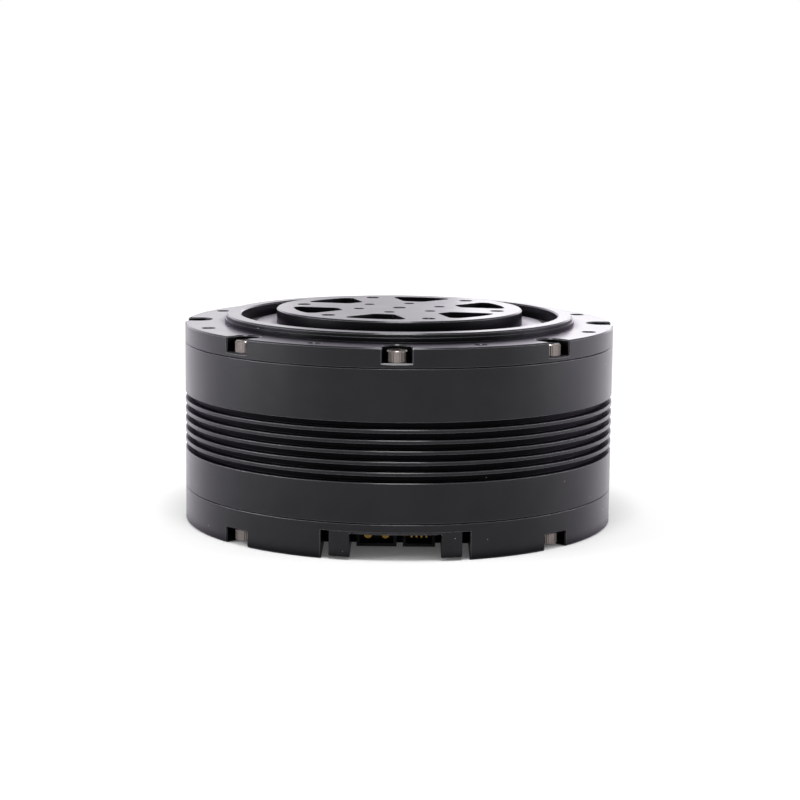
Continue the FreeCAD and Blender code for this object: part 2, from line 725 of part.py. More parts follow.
# ---- crossed roller output bearing ----
def make_output_bearing():
    middle = z_out_bearing + out_bearing_w / 2
    half_groove = (roller_d / 2 + roller_play) * 2 ** 0.5
    inner_r = roller_circle_r - race_gap / 2
    outer_r = roller_circle_r + race_gap / 2
    depth_in = half_groove - race_gap / 2
    inner = turned([(out_bearing_r0, z_out_bearing), (out_bearing_r0, z_out_bearing_top),
                    (inner_r, z_out_bearing_top), (inner_r, middle + depth_in),
                    (inner_r - depth_in, middle), (inner_r, middle - depth_in), (inner_r, z_out_bearing)])
    save("output_bearing_inner_ring", inner)
    for name, side, end in (("rear", -1, z_out_bearing), ("front", 1, z_out_bearing_top)):
        half_ring = turned([(outer_r, end), (outer_r, middle + side * depth_in),
                            (outer_r + depth_in, middle), (out_bearing_r1, middle),
                            (out_bearing_r1, end)])
        save("output_bearing_outer_ring_" + name, half_ring)

    length = roller_d - 2 * roller_end_play
    rollers = []
    windows = []
    for i in range(roller_count):
        tilt = 45 if i % 2 else -45
        roller = Part.makeCylinder(roller_d / 2, length, V(0, 0, -length / 2))
        window = Part.makeCylinder(roller_d / 2 + cage_slack, length + 2 * cage_slack,
                                   V(0, 0, -length / 2 - cage_slack))
        for shape, group in ((roller, rollers), (window, windows)):
            shape.rotate(V(0, 0, 0), V(0, 1, 0), tilt)
            group.append(at(raised(shape, middle), roller_circle_r, 360.0 * i / roller_count))
    cage = band(roller_circle_r, cage_t, middle, cage_w)
    save("output_bearing_rollers", rollers)
    save("output_bearing_cage", cage.cut(windows))


def make_output_seal():
    """Rubber ring in the gap between the flange base and the collar bore."""
    high = z_step - seal_drop
    lip_r = flange_base_r + seal_lip_gap
    seat_r = collar_bore_r - seat_fit
    return turned([(lip_r, z_out_bearing_top), (seat_r, z_out_bearing_top), (seat_r, high),
                   (flange_base_r + seal_slope_w, high), (lip_r, high - seal_slope_h)])


# ---- rotor ----
def make_rotor():
    hub_r = back_iron_in_r
    shoulder_r = rotor_bearing_r0 + shoulder_t
    hub = turned([(sun_shaft_r + seat_fit, z_rotor_bearing), (rotor_bearing_r0 - seat_fit, z_rotor_bearing),
                  (rotor_bearing_r0 - seat_fit, z_rotor_bearing_top), (shoulder_r, z_rotor_bearing_top),
                  (shoulder_r, z_web), (hub_r - seat_fit, z_web), (hub_r - seat_fit, z_web_top),
                  (sun_shaft_r + seat_fit, z_web_top)])
    save("rotor_hub", hub)
    save("rotor_back_iron", tube(back_iron_in_r, magnet_in_r, z_web, z_stator_top))
    half = pi / magnet_count - magnet_gap / (2 * magnet_in_r)
    base_r = magnet_in_r + seat_fit

    def corner(radius, turn):
        return V(radius * cos(turn), radius * sin(turn), z_stator)

    inner = [corner(base_r, turn) for turn in (-half, 0, half)]
    outer = [corner(magnet_out_r, turn) for turn in (half, 0, -half)]
    edges = [Part.Arc(*inner).toShape(), Part.makeLine(inner[2], outer[0]),
             Part.Arc(*outer).toShape(), Part.makeLine(outer[2], inner[0])]
    magnet = Part.Face(Part.Wire(edges)).extrude(V(0, 0, z_stator_top - z_stator))
    save("rotor_magnets", ring_of(magnet, 0, magnet_count))
    save("encoder_magnet", disc(encoder_magnet_r, z_encoder_magnet, z_encoder_magnet + encoder_magnet_t))


def make_rotor_bearing():
    """Ball bearing between the rotor hub and the bearing plate."""
    middle = (z_rotor_bearing + z_rotor_bearing_top) / 2
    circle_r = (rotor_bearing_r0 + rotor_bearing_r1) / 2
    groove = Part.makeTorus(circle_r, ball_r + ball_play, V(0, 0, middle))
    inner = tube(rotor_bearing_r0, rotor_bearing_r0 + ring_t, z_rotor_bearing, z_rotor_bearing_top)
    outer = tube(rotor_bearing_r1 - ring_t, rotor_bearing_r1, z_rotor_bearing, z_rotor_bearing_top)
    save("rotor_bearing_inner_ring", inner.cut(groove))
    save("rotor_bearing_outer_ring", outer.cut(groove))
    balls = ring_of(Part.makeSphere(ball_r, V(0, 0, middle)), circle_r, ball_count)
    socket = Part.makeCylinder(ball_r + cage_slack, 2 * ball_r, V(-ball_r, 0, middle), V(1, 0, 0))
    sockets = ring_of(socket, circle_r, ball_count)
    cage = band(circle_r, ball_cage_t, middle, ball_cage_w)
    save("rotor_bearing_balls", balls)
    save("rotor_bearing_cage", cage.cut(sockets))


# ---- stator ----
def make_stator():
    outer_r = housing_bore_r - seat_fit
    yoke_r = outer_r - yoke_t
    pitch = 2 * pi / slot_count
    tip_half = pitch / 2 - shoe_gap / (2 * stator_bore_r)
    neck_r = stator_bore_r + shoe_h + shoe_taper
    neck_half = tooth_w / 2
    yoke_half = neck_half / yoke_r

    def polar(radius, turn):
        return V(radius * cos(turn), radius * sin(turn), z_stator)

    def beside(radius, side, turn):
        x, y = radius, side * neck_half
        return V(x * cos(turn) - y * sin(turn), x * sin(turn) + y * cos(turn), z_stator)

    edges = []
    for i in range(slot_count):
        centre = i * pitch
        tip = [polar(stator_bore_r, centre - tip_half), polar(stator_bore_r, centre),
               polar(stator_bore_r, centre + tip_half)]
        shoes = [polar(stator_bore_r + shoe_h, centre + side * tip_half) for side in (-1, 1)]
        roots = [polar(yoke_r, centre + side * yoke_half) for side in (-1, 1)]
        following = polar(yoke_r, centre + pitch - yoke_half)
        edges += [Part.makeLine(roots[0], beside(neck_r, -1, centre)),
                  Part.makeLine(beside(neck_r, -1, centre), shoes[0]), Part.makeLine(shoes[0], tip[0]),
                  Part.Arc(*tip).toShape(), Part.makeLine(tip[2], shoes[1]),
                  Part.makeLine(shoes[1], beside(neck_r, 1, centre)),
                  Part.makeLine(beside(neck_r, 1, centre), roots[1]),
                  Part.Arc(roots[1], polar(yoke_r, centre + pitch / 2), following).toShape()]
    height = V(0, 0, z_stator_top - z_stator)
    window = Part.Face(Part.Wire(edges)).extrude(height)
    core = disc(outer_r, z_stator, z_stator_top).cut(window)
    save("stator_core", core)

    inner_half = tooth_w / 2 + coil_liner
    outer_half = inner_half + coil_build
    coil_r1 = yoke_r - coil_radial_gap
    low, high = z_stator - coil_end_liner, z_stator_top + coil_end_liner
    coil = block(coil_r0, coil_r1, -outer_half, outer_half, low - coil_build, high + coil_build)
    corners = [edge for edge in coil.Edges if abs(edge.Vertexes[0].X - edge.Vertexes[1].X) > 1]
    coil = coil.makeFillet(coil_round, corners)
    coil = coil.cut(block(coil_r0 - 1, coil_r1 + 1, -inner_half, inner_half, low, high))
    save("stator_coils", ring_of(coil, 0, slot_count))
    pin = disc(phase_pin_r, z_board, low - coil_build)
    save("phase_pins", ring_of(pin, phase_pin_circle_r, phase_pin_count, phase_pin_turn))


# ---- rear bearing plate ----
def make_bearing_plate():
    boss_r0 = rotor_bearing_r1 + seat_fit
    boss_r1 = rotor_bearing_r1 + plate_boss_t
    lip_r = rotor_bearing_r1 - shoulder_t
    plate = turned([(lip_r, z_plate), (housing_bore_r + plate_lip - seat_fit, z_plate),
                    (housing_bore_r + plate_lip - seat_fit, z_plate_top), (boss_r1, z_plate_top),
                    (boss_r1, z_rotor_bearing_top), (boss_r0, z_rotor_bearing_top),
                    (boss_r0, z_rotor_bearing), (lip_r, z_rotor_bearing)])
    phase_hole = disc(phase_pin_r + phase_hole_gap, z_plate - 1, z_plate_top + 1)
    screw_hole = disc(board_screw_r + thread_fit, z_plate - 1, z_plate_top + 1)
    cuts = ring_of(phase_hole, phase_pin_circle_r, phase_pin_count, phase_pin_turn)
    cuts += ring_of(screw_hole, spacer_r, spacer_count, spacer_turn)
    return plate.cut(cuts)


# ---- driver board ----
def board_outline():
    board = disc(board_r, z_board, z_board_top)
    return board.common(block(-board_r - 1, board_r + 1, y_board_edge, board_r + 1, z_board, z_board_top))


def make_board():
    screw_hole = disc(board_screw_r + screw_hole_gap, z_board - 1, z_board_top + 1)
    phase_hole = disc(phase_pin_r + screw_hole_gap, z_board - 1, z_board_top + 1)
    cuts = ring_of(screw_hole, spacer_r, spacer_count, spacer_turn)
    cuts += ring_of(phase_hole, phase_pin_circle_r, phase_pin_count, phase_pin_turn)
    save("driver_board", board_outline().cut(cuts))
    spacer = tube(board_screw_r + screw_hole_gap, spacer_od_r, z_board_top, z_plate)
    save("board_spacers", ring_of(spacer, spacer_r, spacer_count, spacer_turn))
    length = z_plate + board_screw_grip - z_board
    screw = cap_screw(board_screw_r, length, board_screw_head_r, board_screw_head_h, board_screw_key)
    screw = raised(flipped(screw), z_board)
    save("board_screws", ring_of(screw, spacer_r, spacer_count, spacer_turn))

    step = transistor_sweep / (transistor_count - 1)
    start = 90.0 - transistor_sweep / 2
    transistor = block(-transistor_l / 2, transistor_l / 2, -transistor_w / 2, transistor_w / 2,
                       rear_floor_t + pad_t, z_board)
    angles = [start + i * step for i in range(transistor_count)]
    save("power_transistors", [at(transistor, transistor_r, angle) for angle in angles])
    pad = tube(pad_r0, pad_r1, rear_floor_t, rear_floor_t + pad_t)
    save("thermal_pad", pad.cut(block(-pad_gap_w / 2, pad_gap_w / 2, -pad_r1 - 1, 0, 0, z_board)))
    capacitor = block(-capacitor_w / 2, capacitor_w / 2, -capacitor_l / 2, capacitor_l / 2,
                      z_board_top, z_board_top + capacitor_h)
    save("bus_capacitors", [at(capacitor, capacitor_r, 180.0 * (i + 0.5) / capacitor_count)
                            for i in range(capacitor_count)])
    chip = block(-chip_w / 2, chip_w / 2, -chip_w / 2, chip_w / 2, z_board_top, z_board_top + chip_h)
    save("control_chips", [at(chip, chip_r, angle) for angle in chip_angles])
    half = encoder_chip_w / 2
    save("encoder_chip", block(-half, half, -half, half, z_board_top, z_encoder_chip_top))


# ---- connectors and their frame ----
def make_connector(x0, width, height):
    shell = block(x0, x0 + width, y_connector, y_board_edge, connector_z, connector_z + height)
    wall = connector_wall
    return shell.cut(block(x0 + wall, x0 + width - wall, y_connector - 1, y_connector + connector_cavity,
                           connector_z + wall, connector_z + height - wall))


def make_connectors():
    total = power_w + connector_gap + signal_w
    power_x = -total / 2
    signal_x = power_x + power_w + connector_gap
    power = make_connector(power_x, power_w, power_h)
    signal = make_connector(signal_x, signal_w, signal_h)
    y_back = y_connector + connector_cavity
    pin_y = y_connector + pin_setback
    power_pins = []
    for share in (power_pin_share, 1 - power_pin_share):
        place = V(power_x + power_w * share, pin_y, connector_z + power_h / 2)
        power_pins.append(Part.makeCylinder(power_pin_r, y_back + pin_root - pin_y, place, V(0, 1, 0)))
    signal_pins = []
    middle_x = signal_x + signal_w / 2
    middle_z = connector_z + signal_h / 2
    half = signal_pin_w / 2
    for i in range(signal_pin_count):
        x = middle_x + (i - (signal_pin_count - 1) / 2) * signal_pin_pitch
        signal_pins.append(block(x - half, x + half, pin_y, y_back + pin_root,
                                 middle_z - half, middle_z + half))
    save("power_connector", power.cut(power_pins))
    save("signal_connector", signal.cut(signal_pins))
    save("power_contacts", power_pins)
    save("signal_contacts", signal_pins)


def make_connector_frame():
    """Machined frame in the recess: two posts with their legs, and a bridge over the sockets."""
    half = window_w / 2 - post_gap
    opening = half - post_w
    front_r = body_r - frame_setback
    y_back = -body_r + window_reach - 1
    under = window_h - bridge_t
    bridge = block(-opening, opening, -body_r, y_back, under, window_h)
    post = block(opening, half, -body_r, y_back, post_lift, window_h)
    frame = bridge.fuse([post, post.mirror(V(0, 0, 0), V(1, 0, 0))]).common(disc(front_r, 0, window_h))
    frame = frame.removeSplitter()
    upright = [edge for edge in frame.Edges
               if edge.BoundBox.ZLength > 1 and edge.BoundBox.YMax < y_back - 1]
    frame = frame.makeFillet(post_round, upright)
    brow = turned([(front_r - mouth_break, under), (body_r, under),
                   (body_r, under + mouth_break + frame_setback)])
    return frame.cut(brow.common(block(-opening, opening, -body_r, 0, 0, window_h)))


os.makedirs("parts", exist_ok=True)
save("rear_cover", make_rear_cover())
save("finned_housing", make_finned_housing())
save("front_cover", make_front_cover())
make_casing_screws()
save("ring_gear", make_ring_gear())
save("ring_gear_screws", make_ring_gear_screws())
save("sun_gear", make_sun_gear())
for number in range(planet_count):
    make_planet(number)
save("planet_carrier", make_carrier())
save("carrier_screws", make_carrier_screws())
save("planet_pins", make_planet_pins())
save("planet_washers", make_planet_washers())
save("output_flange", make_output_flange())
save("pilot_bush", make_pilot_bush())
make_output_bearing()
save("output_seal", make_output_seal())
make_rotor()
make_rotor_bearing()
make_stator()
save("rear_bearing_plate", make_bearing_plate())
make_board()
make_connectors()
save("connector_frame", make_connector_frame())
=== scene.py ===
from math import cos, pi, radians, sin

import bpy
from mathutils import Matrix, Vector


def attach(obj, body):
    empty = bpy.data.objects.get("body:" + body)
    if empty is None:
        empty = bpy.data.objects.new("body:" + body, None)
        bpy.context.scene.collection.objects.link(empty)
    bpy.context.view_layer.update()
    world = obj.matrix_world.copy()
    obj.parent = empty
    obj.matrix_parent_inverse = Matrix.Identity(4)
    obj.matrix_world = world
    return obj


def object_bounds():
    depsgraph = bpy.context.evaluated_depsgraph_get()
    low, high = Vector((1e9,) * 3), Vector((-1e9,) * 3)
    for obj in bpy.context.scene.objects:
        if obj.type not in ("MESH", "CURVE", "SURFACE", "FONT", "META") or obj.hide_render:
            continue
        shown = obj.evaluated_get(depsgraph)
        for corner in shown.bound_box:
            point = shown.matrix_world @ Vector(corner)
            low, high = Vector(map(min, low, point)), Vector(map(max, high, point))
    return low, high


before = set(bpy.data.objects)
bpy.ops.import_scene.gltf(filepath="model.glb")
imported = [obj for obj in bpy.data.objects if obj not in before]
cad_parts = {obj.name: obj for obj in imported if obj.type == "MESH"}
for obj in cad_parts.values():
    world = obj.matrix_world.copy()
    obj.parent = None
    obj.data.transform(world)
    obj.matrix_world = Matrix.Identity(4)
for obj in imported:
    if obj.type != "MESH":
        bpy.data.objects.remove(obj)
cad_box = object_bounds()


# ---- Casing: rear cover, finned housing, front cover and recess frame ----
# Aluminium, turned and milled all over, bead-blasted and dyed black in the anodising bath. The hard
# oxide is satin: nearly black face on, pale where it is seen at a low angle, with now and then a
# speck of dust. A thin lighter line on every broken edge is partly wear and partly a painted
# highlight, and grooves, pockets and holes carry painted shade.
def linear(colour):
    """An sRGB hex colour as linear red, green, blue and alpha."""
    parts = [int(colour[i:i + 2], 16) / 255 for i in (1, 3, 5)]
    return [p / 12.92 if p <= 0.04045 else ((p + 0.055) / 1.055) ** 2.4 for p in parts] + [1.0]


def per_metre(size_mm):
    """The texture scale at which one feature of a pattern is this many millimetres."""
    return 1000 / size_mm


def add(tree, kind, sockets, **settings):
    """Adds a node: its settings, then each socket's value, or the output that is linked to it."""
    made = tree.nodes.new("ShaderNode" + kind)
    for name, value in settings.items():
        setattr(made, name, value)
    for name, value in sockets.items():
        if isinstance(value, bpy.types.NodeSocket):
            tree.links.new(value, made.inputs[name])
        else:
            made.inputs[name].default_value = value
    return made


def own_place(tree):
    """The place on the piece, in metres, which stays with the piece when that moves."""
    return add(tree, "TexCoord", {}).outputs["Object"]


def noise(tree, feature_mm, detail):
    """A cloudy pattern from 0 to 1."""
    sockets = {"Vector": own_place(tree), "Scale": per_metre(feature_mm), "Detail": detail}
    return add(tree, "TexNoise", sockets).outputs["Fac"]


def calc(tree, operation, *operands):
    """The result of one sum on numbers and outputs."""
    return add(tree, "Math", dict(enumerate(operands)), operation=operation).outputs["Value"]


def blend(tree, factor, low, high):
    """The colour between two, each an sRGB hex colour or an output."""
    ends = [linear(end) if isinstance(end, str) else end for end in (low, high)]
    sockets = {"Factor": factor, "A": ends[0], "B": ends[1]}
    return add(tree, "Mix", sockets, data_type="RGBA").outputs["Result"]


def spread(tree, value, low, high, low_at=0.0, high_at=1.0):
    """The number that goes from low to high while a value goes from low_at to high_at."""
    sockets = {"Value": value, "From Min": low_at, "From Max": high_at, "To Min": low, "To Max": high}
    return add(tree, "MapRange", sockets).outputs["Result"]


def rounded_edges(tree, radius_mm):
    """The surface's direction as if its sharp edges were broken by a small radius."""
    return add(tree, "Bevel", {"Radius": radius_mm / 1000}, samples=4).outputs["Normal"]


def relief(tree, height, strength, depth_mm, **under):
    """The surface's direction with a shallow relief laid on it."""
    sockets = {"Height": height, "Strength": strength, "Distance": depth_mm / 1000, **under}
    return add(tree, "Bump", sockets).outputs["Normal"]


def new_finish(name, constants):
    """A material named for the real one, with the constant sockets of its shader set."""
    made = bpy.data.materials.new(name)
    made.use_nodes = True
    shader = made.node_tree.nodes["Principled BSDF"]
    for socket, value in constants.items():
        shader.inputs[socket].default_value = value
    return made, made.node_tree, shader


def wire(tree, shader, sockets):
    """Links patterns to the shader's sockets."""
    for name, output in sockets.items():
        tree.links.new(output, shader.inputs[name])


def dress(finish, *names):
    """Gives CAD nodes their finish."""
    for name in names:
        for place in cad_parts[name].material_slots:
            place.material = finish


def black_anodised(name, roughness):
    """Bead-blasted aluminium under black anodic oxide, satin, with its roughness range."""
    made, tree, shader = new_finish(name, {"Metallic": 1.0, "Specular Tint": linear("#F1EAF7"),
                                           "Coat Roughness": 0.18, "Coat IOR": 1.4})
    # broken edges are lighter: partly wear where the dye is thin, partly a painted highlight along each edge
    edge_mm = 0.15
    rounded = rounded_edges(tree, edge_mm)
    flat = add(tree, "NewGeometry", {}).outputs["Normal"]
    bend = add(tree, "VectorMath", {0: rounded, 1: flat}, operation="DOT_PRODUCT").outputs["Value"]
    edge_wear_and_highlight = spread(tree, bend, 0, 1, low_at=0.995, high_at=0.9)
    cloud_mm = 9
    cloud = spread(tree, noise(tree, cloud_mm, 3), 0, 1, low_at=0.35, high_at=0.65)
    # the pale #707074 on the edges is partly bare metal from wear and partly a painted highlight
    colour = blend(tree, edge_wear_and_highlight, blend(tree, cloud, "#111114", "#161619"), "#707074")
    # painted shade: where grooves, pockets and holes close a place in within 3 mm, the coat fades out and
    # the colour goes towards near black #030303, as if shade fell there
    painted_shade_reach_mm = 3
    open_air = add(tree, "AmbientOcclusion", {"Distance": painted_shade_reach_mm / 1000}, samples=6).outputs["AO"]
    sheen_with_painted_shade = spread(tree, open_air, 0, 0.55, low_at=0.6, high_at=0.92)
    outside_painted_shade = spread(tree, open_air, 0.2, 1, low_at=0.5, high_at=0.92)
    # painted shade: the colour darkens to #030303 in closed-in places
    colour = blend(tree, outside_painted_shade, "#030303", colour)
    # dust: one round speck in each of a few cells
    dust_cell_mm = 4
    dust_radius_mm = 0.128
    dusty_share = 0.4
    cell = add(tree, "TexVoronoi", {"Vector": own_place(tree), "Scale": per_metre(dust_cell_mm)})
    near = calc(tree, "LESS_THAN", cell.outputs["Distance"], dust_radius_mm / dust_cell_mm)
    pick = add(tree, "SeparateColor", {"Color": cell.outputs["Color"]}).outputs["Red"]
    speck = calc(tree, "MULTIPLY", near, calc(tree, "GREATER_THAN", pick, 1 - dusty_share))
    colour = blend(tree, speck, colour, "#A8A5A0")
    # blasting leaves dimples of about 0.1 mm; they are drawn at 0.4 mm, the finest that shows
    dimple_mm = 0.4
    dimples = relief(tree, noise(tree, dimple_mm, 2), 0.25, 0.04, Normal=rounded)
    smear_mm = 14
    satin = spread(tree, noise(tree, smear_mm, 4), *roughness)
    wire(tree, shader, {"Base Color": colour, "Roughness": satin, "Coat Weight": sheen_with_painted_shade, "Normal": dimples})
    return made


casing_finish = black_anodised("bead_blasted_black_anodised_aluminium", (0.36, 0.44))
dress(casing_finish, "rear_cover", "finned_housing", "front_cover", "connector_frame")


# ---- Screws ----
# Socket cap screws, cold-headed from steel and bright nickel-plated, a little warm and slightly hazy.
# The heads of the casing's M3 screws are knurled round the rim with fine straight ridges.
def nickel_plated(name):
    """Nickel over steel; gives the rounded edges too, for a relief to be laid on."""
    made, tree, shader = new_finish(name, {"Metallic": 1.0})
    haze = noise(tree, 1.2, 4)
    rounded = rounded_edges(tree, 0.12)
    wire(tree, shader, {"Base Color": blend(tree, haze, "#665F5D", "#7E7774"),
                        "Roughness": spread(tree, haze, 0.14, 0.28), "Normal": rounded})
    return made, tree, shader, rounded


nickel = nickel_plated("bright_nickel_plated_steel")[0]
dress(nickel, "ring_gear_screws", "carrier_screws", "board_screws")


def distance(tree, x, y):
    """How far a point of the level plane lies from the origin."""
    point = add(tree, "CombineXYZ", {"X": x, "Y": y}).outputs["Vector"]
    return add(tree, "VectorMath", {0: point}, operation="LENGTH").outputs["Value"]


# each screw is an eighth of a turn from the next, so the angle is folded and one axis serves for all
knurled, tree, shader, rounded = nickel_plated("knurled_nickel_plated_steel")
screw_circle_mm = 54.6
screw_step = pi / 4
ridge_count = 40
smooth_top_mm = 2.7
axes = add(tree, "SeparateXYZ", {"Vector": own_place(tree)}).outputs
around = calc(tree, "ARCTAN2", axes["Y"], axes["X"])
folded = calc(tree, "WRAP", around, screw_step / 2, -screw_step / 2)
reach = distance(tree, axes["X"], axes["Y"])
from_axis_x = calc(tree, "MULTIPLY_ADD", reach, calc(tree, "COSINE", folded), -screw_circle_mm / 1000)
from_axis_y = calc(tree, "MULTIPLY", reach, calc(tree, "SINE", folded))
head_turn = calc(tree, "ARCTAN2", from_axis_y, from_axis_x)
ridges = calc(tree, "SINE", calc(tree, "MULTIPLY", head_turn, ridge_count))
on_rim = calc(tree, "GREATER_THAN", distance(tree, from_axis_x, from_axis_y), smooth_top_mm / 1000)
knurl = relief(tree, calc(tree, "MULTIPLY", ridges, on_rim), 0.7, 0.06, Normal=rounded)
wire(tree, shader, {"Normal": knurl})
dress(knurled, "front_cover_screws", "rear_cover_screws")


# ---- Driver board ----
# Glass-fibre laminate under green solder mask. The mask is glossy and lets the copper tracks
# show through as slightly lighter strips.
mask, tree, shader = new_finish("green_solder_mask_on_laminate", {"Roughness": 0.28, "IOR": 1.52,
                                                                  "Coat Weight": 0.3, "Coat Roughness": 0.1})
track_mm = 1.6
rows_per_feature = 4
tracks = add(tree, "TexBrick", {"Vector": own_place(tree), "Scale": per_metre(track_mm * rows_per_feature),
                                "Mortar Size": 0.06, "Color1": linear("#12301D"),
                                "Color2": linear("#153722"), "Mortar": linear("#1F4A2E")}).outputs
wire(tree, shader, {"Base Color": tracks["Color"], "Normal": relief(tree, tracks["Fac"], 0.4, 0.03)})
dress(mask, "driver_board")


# ---- Parts on the board ----
# Power transistors, controller chips and the encoder chip are moulded in black epoxy with a fine
# matt grain from the mould. The bus capacitors are fired ceramic with a dull tan body.
epoxy, tree, shader = new_finish("moulded_black_epoxy", {"IOR": 1.55})
grain = noise(tree, 0.2, 2)
wire(tree, shader, {"Base Color": blend(tree, grain, "#161617", "#222223"),
                    "Roughness": spread(tree, grain, 0.45, 0.62)})
dress(epoxy, "power_transistors", "control_chips", "encoder_chip")

ceramic, tree, shader = new_finish("fired_capacitor_ceramic", {"IOR": 1.6, "Roughness": 0.42})
wire(tree, shader, {"Base Color": blend(tree, noise(tree, 0.5, 3), "#7B6549", "#9A8364")})
dress(ceramic, "bus_capacitors")


# ---- Thermal pad and board spacers ----
# The pad is soft blue-grey silicone filled with ceramic powder, cut from sheet. The spacers are
# turned steel tubes, zinc-plated, with fine rings from the tool.
silicone, tree, shader = new_finish("filled_silicone_sheet", {"IOR": 1.41, "Roughness": 0.8})
powder = noise(tree, 0.6, 4)
wire(tree, shader, {"Base Color": blend(tree, powder, "#8B98A5", "#9EABB6"),
                    "Normal": relief(tree, powder, 0.3, 0.1)})
dress(silicone, "thermal_pad")


def bands(tree, band_mm, distortion=0.0, **settings):
    """Soft lines from 0 to 1, one in this many millimetres; a wave runs 20 radians per unit of place."""
    sockets = {"Vector": own_place(tree), "Scale": per_metre(band_mm) * 2 * pi / 20,
               "Distortion": distortion}
    return add(tree, "TexWave", sockets, **settings).outputs["Fac"]


zinc, tree, shader = new_finish("turned_zinc_plated_steel", {"Metallic": 1.0})
rings = bands(tree, 0.25, 0.4, bands_direction="Z")
wire(tree, shader, {"Base Color": blend(tree, rings, "#A9ABAE", "#BDBFC2"),
                    "Roughness": spread(tree, rings, 0.22, 0.34)})
dress(zinc, "board_spacers")


# ---- Connectors ----
# Power and signal sockets, moulded in black nylon with short glass fibre, which leaves a fine
# fleck, and soldered to the board behind the frame of the recess. Their contacts are gold-plated.
nylon, tree, shader = new_finish("glass_filled_black_nylon", {"IOR": 1.53, "Specular IOR Level": 0.2})
fleck = noise(tree, 0.5, 5)
wire(tree, shader, {"Base Color": blend(tree, fleck, "#09090A", "#0F0F10"),
                    "Roughness": spread(tree, fleck, 0.65, 0.8), "Normal": rounded_edges(tree, 0.2)})
dress(nylon, "power_connector", "signal_connector")

gold, tree, shader = new_finish("gold_plated_contact", {"Metallic": 1.0})
rub = noise(tree, 0.8, 3)
wire(tree, shader, {"Base Color": blend(tree, rub, "#6E5526", "#836838"),
                    "Roughness": spread(tree, rub, 0.15, 0.3)})
dress(gold, "power_contacts", "signal_contacts")


# ---- Stator and rotor iron ----
# Stacks of electrical steel sheets, 0.35 mm each, stamped and bonded: the edges of the sheets
# show as fine grey bands across the stack.
stack, tree, shader = new_finish("bonded_electrical_steel_sheets", {"Metallic": 0.9})
sheets = bands(tree, 0.35, bands_direction="Z")
wire(tree, shader, {"Base Color": blend(tree, sheets, "#5E5F62", "#7C7D80"),
                    "Roughness": spread(tree, sheets, 0.32, 0.5), "Normal": relief(tree, sheets, 0.5, 0.04)})
dress(stack, "stator_core", "rotor_back_iron")


# ---- Coils and phase pins ----
# Round copper wire of 0.9 mm under clear enamel, wound by machine turn beside turn, so each coil
# is ribbed and its copper looks deep orange. The phase pins are the same copper, drawn.
copper, tree, shader = new_finish("enamelled_copper_wire", {"Metallic": 1.0, "Coat Weight": 0.6,
                                                            "Coat Roughness": 0.08})
turns = bands(tree, 0.9, 0.6, bands_direction="Z")
wire(tree, shader, {"Base Color": blend(tree, turns, "#8A431D", "#C5713B"),
                    "Roughness": spread(tree, turns, 0.38, 0.22), "Normal": relief(tree, turns, 0.8, 0.2)})
dress(copper, "stator_coils", "phase_pins")


# ---- Magnets ----
# Sintered neodymium blocks and the encoder's disc, ground and nickel-plated: bright, hard-edged
# and slightly orange-peeled.
plated, tree, shader = new_finish("nickel_plated_neodymium", {"Metallic": 1.0})
peel = noise(tree, 0.7, 2)
wire(tree, shader, {"Base Color": blend(tree, peel, "#B5B1AA", "#CAC7C1"),
                    "Roughness": spread(tree, peel, 0.14, 0.24)})
dress(plated, "rotor_magnets", "encoder_magnet")


# ---- Bearing plate, rotor hub and planet carrier ----
# Turned from aluminium bar and left bare. The tool's feed leaves fine rings round the axis, and
# the metal is pale and a little blue.
turned, tree, shader = new_finish("turned_bare_aluminium", {"Metallic": 1.0})
rings = bands(tree, 0.3, 0.3, wave_type="RINGS", rings_direction="Z")
wire(tree, shader, {"Base Color": blend(tree, rings, "#B4B6B9", "#C8CACD"),
                    "Roughness": spread(tree, rings, 0.24, 0.36), "Normal": relief(tree, rings, 0.3, 0.03)})
dress(turned, "rear_bearing_plate", "rotor_hub", "planet_carrier")


# ---- Gears ----
# Case-hardened steel, hobbed and ground, wiped with thin oil: mid-grey, half bright, with fine
# grinding marks.
hardened, tree, shader = new_finish("ground_hardened_steel", {"Metallic": 1.0, "Coat Weight": 0.25,
                                                              "Coat Roughness": 0.15})
marks = noise(tree, 0.5, 5)
wire(tree, shader, {"Base Color": blend(tree, marks, "#7B7C80", "#949599"),
                    "Roughness": spread(tree, marks, 0.22, 0.38)})
dress(hardened, "ring_gear", "sun_gear", "planet_gear_1", "planet_gear_2", "planet_gear_3")


# ---- Bearings and planet pins ----
# Through-hardened bearing steel, ground and lapped almost to a mirror, with cages pressed from
# brass strip.
lapped, tree, shader = new_finish("lapped_bearing_steel", {"Metallic": 1.0})
film = noise(tree, 3, 3)
wire(tree, shader, {"Base Color": blend(tree, film, "#BBBDC0", "#CFD1D3"),
                    "Roughness": spread(tree, film, 0.08, 0.16)})
dress(lapped, "output_bearing_outer_ring_rear", "output_bearing_outer_ring_front",
      "output_bearing_inner_ring", "output_bearing_rollers", "rotor_bearing_outer_ring",
      "rotor_bearing_inner_ring", "rotor_bearing_balls", "planet_pins")

brass, tree, shader = new_finish("pressed_brass_strip", {"Metallic": 1.0})
tarnish = noise(tree, 2.5, 4)
wire(tree, shader, {"Base Color": blend(tree, tarnish, "#A27E3A", "#C39F58"),
                    "Roughness": spread(tree, tarnish, 0.2, 0.35)})
dress(brass, "output_bearing_cage", "rotor_bearing_cage")


# ---- Bushes and washers ----
# Sintered bronze soaked in oil: brown-gold, dull, with open pores of a few tenths of a millimetre.
sintered, tree, shader = new_finish("oiled_sintered_bronze", {"Metallic": 0.9, "Coat Weight": 0.2,
                                                              "Coat Roughness": 0.3})
pore_mm = 0.35
pores = add(tree, "TexVoronoi", {"Vector": own_place(tree), "Scale": per_metre(pore_mm)}).outputs["Distance"]
wire(tree, shader, {"Base Color": blend(tree, pores, "#6B4626", "#9C6E42"),
                    "Roughness": spread(tree, pores, 0.55, 0.35)})
dress(sintered, "pilot_bush", "planet_bush_1", "planet_bush_2", "planet_bush_3", "planet_washers")


